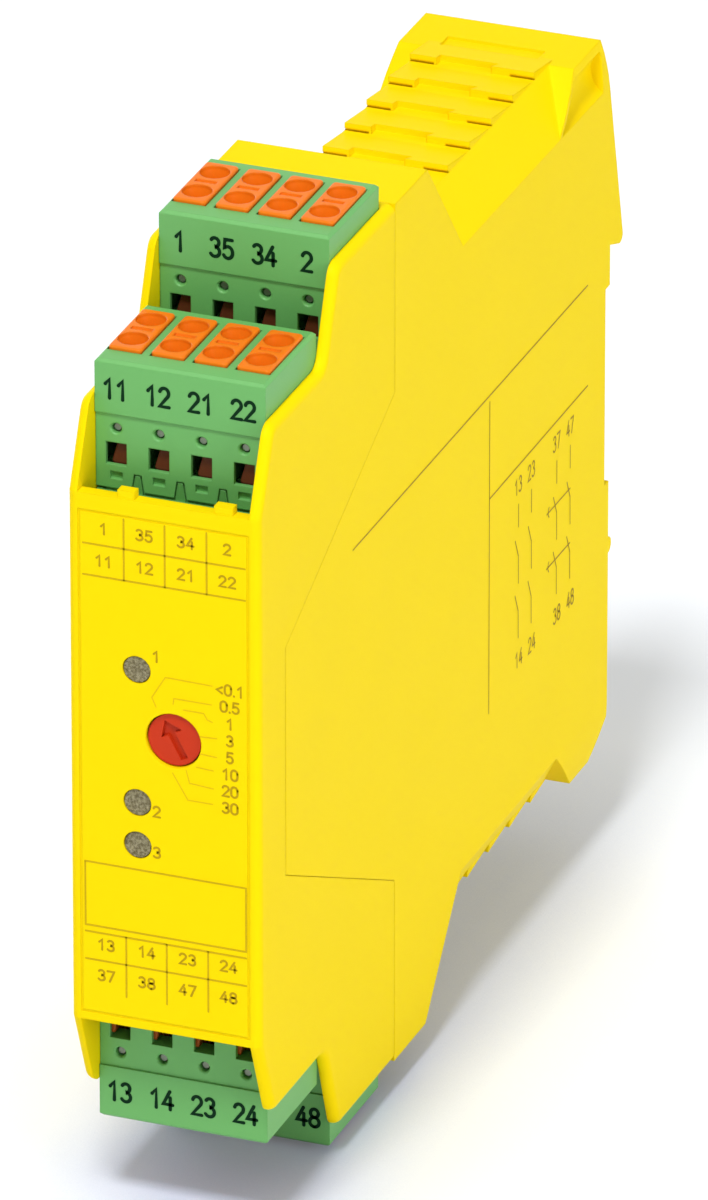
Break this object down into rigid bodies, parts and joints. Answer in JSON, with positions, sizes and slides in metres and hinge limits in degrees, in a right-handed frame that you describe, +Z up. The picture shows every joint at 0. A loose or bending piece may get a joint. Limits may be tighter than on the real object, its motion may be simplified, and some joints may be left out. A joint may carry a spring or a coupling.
{
  "type": "safety relay",
  "caption": "Slim rail-mounted safety relay with a stepped yellow housing, time dial, status lamps and pull-off spring terminal plugs.",
  "frame": {"origin": "on the mounting rail's bearing plane, midway across the module and at the rail's middle height", "axes": "+X right seen from the front, +Y from the front panel towards the rail, +Z up the wall"},
  "size_m": [0.0226, 0.1142, 0.1128],
  "materials": {
    "housing_yellow": "fine satin moulding",
    "plug_green": "fine satin moulding",
    "header_green": "satin",
    "release_orange": "satin",
    "dial_red": "satin",
    "lamp_window": "smoked, smooth",
    "catch_black": "satin",
    "spring_steel": "drawn",
    "tinned_pin": "tinned",
    "contact_bronze": "rolled strip",
    "board_green": "solder mask",
    "relay_case": "satin",
    "component_black": "satin",
    "ferrite": "ground ferrite and taped winding",
    "capacitor_sleeve": "shrunk sleeve"
  },
  "bodies": {
    "housing": {"board_link": "component_black", "capacitor_1": "capacitor_sleeve", "capacitor_2": "capacitor_sleeve", "catch_spring": "spring_steel", "controller_1": "component_black", "controller_2": "component_black", "dial_switch": "component_black", "front_cover": "housing_yellow", "light_guide_1": "lamp_window", "light_guide_2": "lamp_window", "light_guide_3": "lamp_window", "lower_front_header": "header_green", "lower_front_header_pins": "tinned_pin", "lower_rear_header": "header_green", "lower_rear_header_pins": "tinned_pin", "main_board": "board_green", "panel_board": "board_green", "rear_housing": "housing_yellow", "relay_1": "relay_case", "relay_2": "relay_case", "relay_3": "relay_case", "relay_4": "relay_case", "status_lamps": "lamp_window", "supply_transformer": "ferrite", "upper_front_header": "header_green", "upper_front_header_pins": "tinned_pin", "upper_rear_header": "header_green", "upper_rear_header_pins": "tinned_pin"},
    "dial": {"time_dial": "dial_red"},
    "catch": {"rail_catch": "catch_black"},
    "upper_front_plug": {"upper_front_plug": "plug_green", "upper_front_clamps": "spring_steel", "upper_front_sockets": "contact_bronze"},
    "upper_front_pusher_1": {"upper_front_pusher_1": "release_orange"},
    "upper_front_pusher_2": {"upper_front_pusher_2": "release_orange"},
    "upper_front_pusher_3": {"upper_front_pusher_3": "release_orange"},
    "upper_front_pusher_4": {"upper_front_pusher_4": "release_orange"},
    "upper_rear_plug": {"upper_rear_plug": "plug_green", "upper_rear_clamps": "spring_steel", "upper_rear_sockets": "contact_bronze"},
    "upper_rear_pusher_1": {"upper_rear_pusher_1": "release_orange"},
    "upper_rear_pusher_2": {"upper_rear_pusher_2": "release_orange"},
    "upper_rear_pusher_3": {"upper_rear_pusher_3": "release_orange"},
    "upper_rear_pusher_4": {"upper_rear_pusher_4": "release_orange"},
    "lower_front_plug": {"lower_front_plug": "plug_green", "lower_front_clamps": "spring_steel", "lower_front_sockets": "contact_bronze"},
    "lower_front_pusher_1": {"lower_front_pusher_1": "release_orange"},
    "lower_front_pusher_2": {"lower_front_pusher_2": "release_orange"},
    "lower_front_pusher_3": {"lower_front_pusher_3": "release_orange"},
    "lower_front_pusher_4": {"lower_front_pusher_4": "release_orange"},
    "lower_rear_plug": {"lower_rear_plug": "plug_green", "lower_rear_clamps": "spring_steel", "lower_rear_sockets": "contact_bronze"},
    "lower_rear_pusher_1": {"lower_rear_pusher_1": "release_orange"},
    "lower_rear_pusher_2": {"lower_rear_pusher_2": "release_orange"},
    "lower_rear_pusher_3": {"lower_rear_pusher_3": "release_orange"},
    "lower_rear_pusher_4": {"lower_rear_pusher_4": "release_orange"}
  },
  "joints": [
    {"name": "dial_turn", "type": "hinge", "parent": "housing", "child": "dial", "pos_m": [0.0011, -0.1088, 0.0043], "axis": [0, 1, 0], "range_deg": [0, 210]},
    {"name": "catch_pull", "type": "slide", "parent": "housing", "child": "catch", "axis": [0, 0, -1], "range_m": [0, 0.004], "stiffness_N_per_m": 800, "springref_m": -0.004, "deforming": ["catch_spring"]},
    {"name": "upper_front_pull", "type": "slide", "parent": "housing", "child": "upper_front_plug", "axis": [0, 0, 1], "range_m": [0, 0.0225]},
    {"name": "upper_front_pusher_1_press", "type": "slide", "parent": "upper_front_plug", "child": "upper_front_pusher_1", "axis": [0, 0, -1], "range_m": [0, 0.001], "stiffness_N_per_m": 1500, "springref_m": -0.001},
    {"name": "upper_front_pusher_2_press", "type": "slide", "parent": "upper_front_plug", "child": "upper_front_pusher_2", "axis": [0, 0, -1], "range_m": [0, 0.001], "stiffness_N_per_m": 1500, "springref_m": -0.001},
    {"name": "upper_front_pusher_3_press", "type": "slide", "parent": "upper_front_plug", "child": "upper_front_pusher_3", "axis": [0, 0, -1], "range_m": [0, 0.001], "stiffness_N_per_m": 1500, "springref_m": -0.001},
    {"name": "upper_front_pusher_4_press", "type": "slide", "parent": "upper_front_plug", "child": "upper_front_pusher_4", "axis": [0, 0, -1], "range_m": [0, 0.001], "stiffness_N_per_m": 1500, "springref_m": -0.001},
    {"name": "upper_rear_pull", "type": "slide", "parent": "housing", "child": "upper_rear_plug", "axis": [0, 0, 1], "range_m": [0, 0.0225]},
    {"name": "upper_rear_pusher_1_press", "type": "slide", "parent": "upper_rear_plug", "child": "upper_rear_pusher_1", "axis": [0, 0, -1], "range_m": [0, 0.001], "stiffness_N_per_m": 1500, "springref_m": -0.001},
    {"name": "upper_rear_pusher_2_press", "type": "slide", "parent": "upper_rear_plug", "child": "upper_rear_pusher_2", "axis": [0, 0, -1], "range_m": [0, 0.001], "stiffness_N_per_m": 1500, "springref_m": -0.001},
    {"name": "upper_rear_pusher_3_press", "type": "slide", "parent": "upper_rear_plug", "child": "upper_rear_pusher_3", "axis": [0, 0, -1], "range_m": [0, 0.001], "stiffness_N_per_m": 1500, "springref_m": -0.001},
    {"name": "upper_rear_pusher_4_press", "type": "slide", "parent": "upper_rear_plug", "child": "upper_rear_pusher_4", "axis": [0, 0, -1], "range_m": [0, 0.001], "stiffness_N_per_m": 1500, "springref_m": -0.001},
    {"name": "lower_front_pull", "type": "slide", "parent": "housing", "child": "lower_front_plug", "axis": [0, 0, -1], "range_m": [0, 0.0225]},
    {"name": "lower_front_pusher_1_press", "type": "slide", "parent": "lower_front_plug", "child": "lower_front_pusher_1", "axis": [0, 0, 1], "range_m": [0, 0.001], "stiffness_N_per_m": 1500, "springref_m": -0.001},
    {"name": "lower_front_pusher_2_press", "type": "slide", "parent": "lower_front_plug", "child": "lower_front_pusher_2", "axis": [0, 0, 1], "range_m": [0, 0.001], "stiffness_N_per_m": 1500, "springref_m": -0.001},
    {"name": "lower_front_pusher_3_press", "type": "slide", "parent": "lower_front_plug", "child": "lower_front_pusher_3", "axis": [0, 0, 1], "range_m": [0, 0.001], "stiffness_N_per_m": 1500, "springref_m": -0.001},
    {"name": "lower_front_pusher_4_press", "type": "slide", "parent": "lower_front_plug", "child": "lower_front_pusher_4", "axis": [0, 0, 1], "range_m": [0, 0.001], "stiffness_N_per_m": 1500, "springref_m": -0.001},
    {"name": "lower_rear_pull", "type": "slide", "parent": "housing", "child": "lower_rear_plug", "axis": [0, 0, -1], "range_m": [0, 0.0225]},
    {"name": "lower_rear_pusher_1_press", "type": "slide", "parent": "lower_rear_plug", "child": "lower_rear_pusher_1", "axis": [0, 0, 1], "range_m": [0, 0.001], "stiffness_N_per_m": 1500, "springref_m": -0.001},
    {"name": "lower_rear_pusher_2_press", "type": "slide", "parent": "lower_rear_plug", "child": "lower_rear_pusher_2", "axis": [0, 0, 1], "range_m": [0, 0.001], "stiffness_N_per_m": 1500, "springref_m": -0.001},
    {"name": "lower_rear_pusher_3_press", "type": "slide", "parent": "lower_rear_plug", "child": "lower_rear_pusher_3", "axis": [0, 0, 1], "range_m": [0, 0.001], "stiffness_N_per_m": 1500, "springref_m": -0.001},
    {"name": "lower_rear_pusher_4_press", "type": "slide", "parent": "lower_rear_plug", "child": "lower_rear_pusher_4", "axis": [0, 0, 1], "range_m": [0, 0.001], "stiffness_N_per_m": 1500, "springref_m": -0.001}
  ]
}
